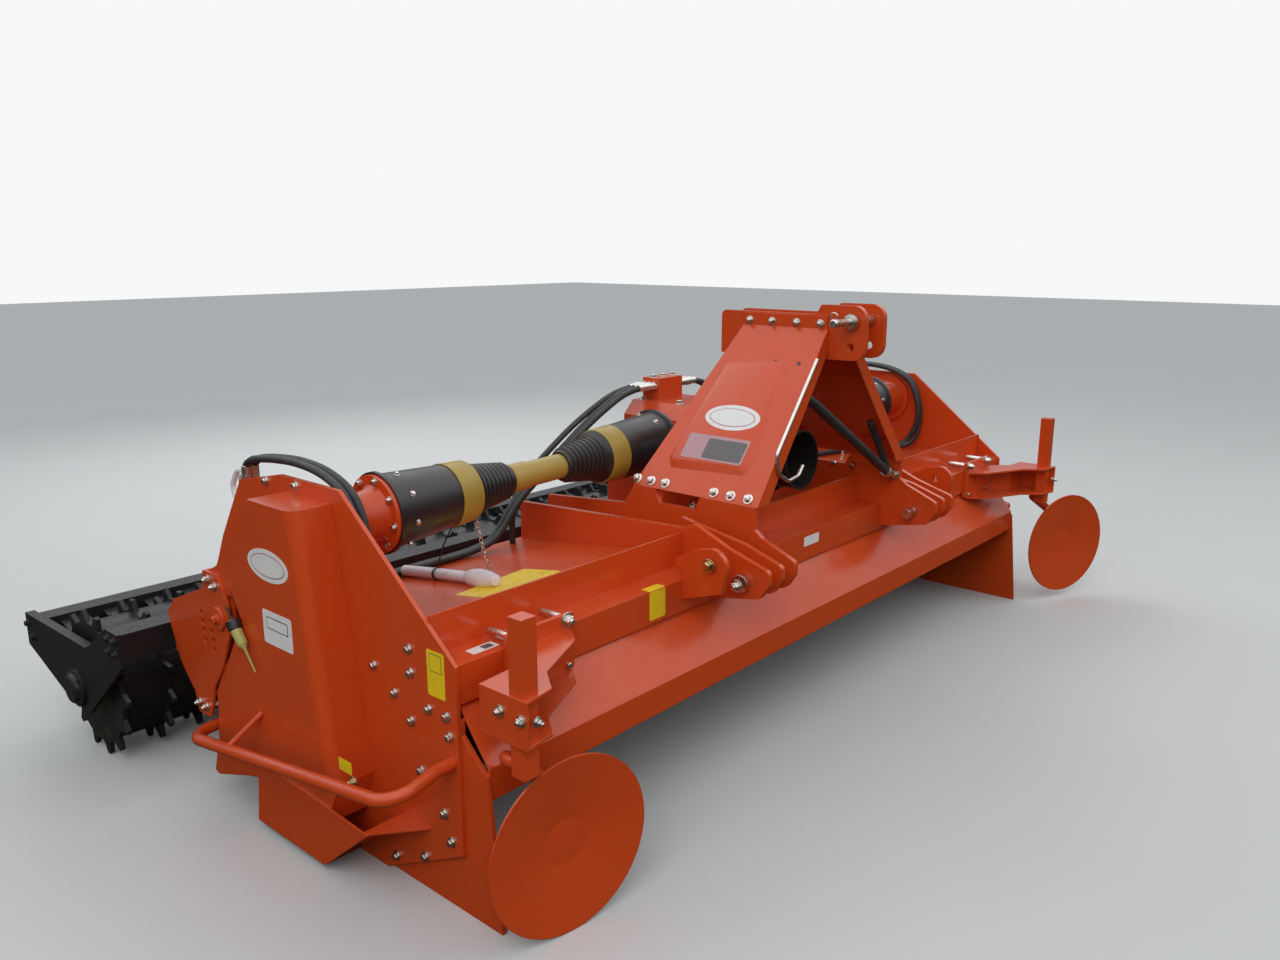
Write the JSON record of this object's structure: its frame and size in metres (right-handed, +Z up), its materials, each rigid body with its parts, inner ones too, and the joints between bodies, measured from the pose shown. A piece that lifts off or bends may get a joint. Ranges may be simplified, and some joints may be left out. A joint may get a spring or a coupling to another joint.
{
  "type": "rotavator",
  "caption": "Wide tractor-mounted rotavator: folded hood on a box beam, tined rotor, A-frame headstock, side drives in plastic guards, side discs and a toothed packer roller on lift arms",
  "frame": {"origin": "the middle of the bounding box, on the floor that the machine stands on", "axes": "X along the working width with the right-hand end at -X, Y rearwards from the hitch to the roller, Z up"},
  "size_m": [3.8552, 2.342, 1.43],
  "materials": {
    "orange_paint": "gloss",
    "wear_steel": "satin",
    "black_paint": "satin",
    "black_plastic": "satin",
    "olive_plastic": "satin",
    "bright_steel": "satin",
    "hose_rubber": "satin"
  },
  "bodies": {
    "chassis": {"front_beam": "orange_paint", "hood_deck": "orange_paint", "front_deflector": "orange_paint", "end_plate_right": "orange_paint", "end_plate_left": "orange_paint", "gear_case_right": "orange_paint", "gear_case_left": "orange_paint", "input_housings": "orange_paint", "gearbox": "orange_paint", "hitch_base_right": "orange_paint", "hitch_base_left": "orange_paint", "tower_leg_right": "orange_paint", "tower_leg_left": "orange_paint", "top_link_plates": "orange_paint", "disc_bracket_right": "orange_paint", "disc_bracket_left": "orange_paint", "disc_post_right": "orange_paint", "disc_post_left": "orange_paint", "guard_bow_right": "orange_paint", "guard_bow_left": "orange_paint", "arm_housing_right": "orange_paint", "arm_housing_left": "orange_paint", "valve_block": "orange_paint", "wear_knives": "orange_paint", "drive_guards_right": "black_plastic", "drive_guards_left": "black_plastic", "pto_guard": "black_plastic", "drive_tubes": "olive_plastic", "hitch_pins": "bright_steel", "top_link_pin": "bright_steel", "hook_rod": "bright_steel", "hoses_right": "hose_rubber", "hoses_left": "hose_rubber"},
    "rotor": {"rotor": "wear_steel"},
    "pto_stub": {"pto_stub": "bright_steel"},
    "disc_right": {"disc_right": "orange_paint"},
    "disc_left": {"disc_left": "orange_paint"},
    "roller_frame": {"roller_frame": "black_paint"},
    "roller": {"roller": "black_paint"},
    "rear_board": {"rear_board": "orange_paint"},
    "cylinder_right": {"cylinder_barrel_right": "black_paint"},
    "cylinder_left": {"cylinder_barrel_left": "black_paint"},
    "rod_right": {"cylinder_rod_right": "bright_steel"},
    "rod_left": {"cylinder_rod_left": "bright_steel"}
  },
  "joints": [
    {"name": "rotor_spin", "type": "hinge", "parent": "chassis", "child": "rotor", "pos_m": [-0.04761, -0.23896, 0.315], "axis": [1, 0, 0], "continuous": true},
    {"name": "pto_spin", "type": "hinge", "parent": "chassis", "child": "pto_stub", "pos_m": [-0.04761, -0.45896, 0.88], "axis": [0, 1, 0], "continuous": true},
    {"name": "disc_right_spin", "type": "hinge", "parent": "chassis", "child": "disc_right", "pos_m": [-1.51161, -1.04196, 0.228], "axis": [0.1478, 0.989, 0], "continuous": true},
    {"name": "disc_left_spin", "type": "hinge", "parent": "chassis", "child": "disc_left", "pos_m": [1.71539, -1.08196, 0.264], "axis": [0.3907, 0.9205, 0], "continuous": true},
    {"name": "roller_lift", "type": "hinge", "parent": "chassis", "child": "roller_frame", "pos_m": [-0.04761, 0.07104, 0.6], "axis": [1, 0, 0], "range_deg": [-3, 14]},
    {"name": "roller_spin", "type": "hinge", "parent": "roller_frame", "child": "roller", "pos_m": [-0.04761, 0.76104, 0.24], "axis": [1, 0, 0], "continuous": true},
    {"name": "rear_board_swing", "type": "hinge", "parent": "chassis", "child": "rear_board", "pos_m": [-0.04761, 0.19004, 0.494], "axis": [1, 0, 0], "range_deg": [-8, 22]},
    {"name": "cylinder_right_swing", "type": "hinge", "parent": "chassis", "child": "cylinder_right", "pos_m": [-1.58761, 0.12104, 0.9], "axis": [1, 0, 0], "range_deg": [-2, 6]},
    {"name": "rod_right_slide", "type": "slide", "parent": "cylinder_right", "child": "rod_right", "axis": [0, 0.5249, -0.8512], "range_m": [-0.055, 0.015]},
    {"name": "cylinder_left_swing", "type": "hinge", "parent": "chassis", "child": "cylinder_left", "pos_m": [1.49239, 0.12104, 0.9], "axis": [1, 0, 0], "range_deg": [-2, 6]},
    {"name": "rod_left_slide", "type": "slide", "parent": "cylinder_left", "child": "rod_left", "axis": [0, 0.5249, -0.8512], "range_m": [-0.055, 0.015]}
  ],
  "couplings": [
    {"joint": "pto_spin", "follows": "rotor_spin", "ratio": 4},
    {"joint": "cylinder_right_swing", "follows": "roller_lift", "ratio": 0.33},
    {"joint": "rod_right_slide", "follows": "roller_lift", "m_per_rad": -0.208},
    {"joint": "cylinder_left_swing", "follows": "roller_lift", "ratio": 0.33},
    {"joint": "rod_left_slide", "follows": "roller_lift", "m_per_rad": -0.208}
  ]
}
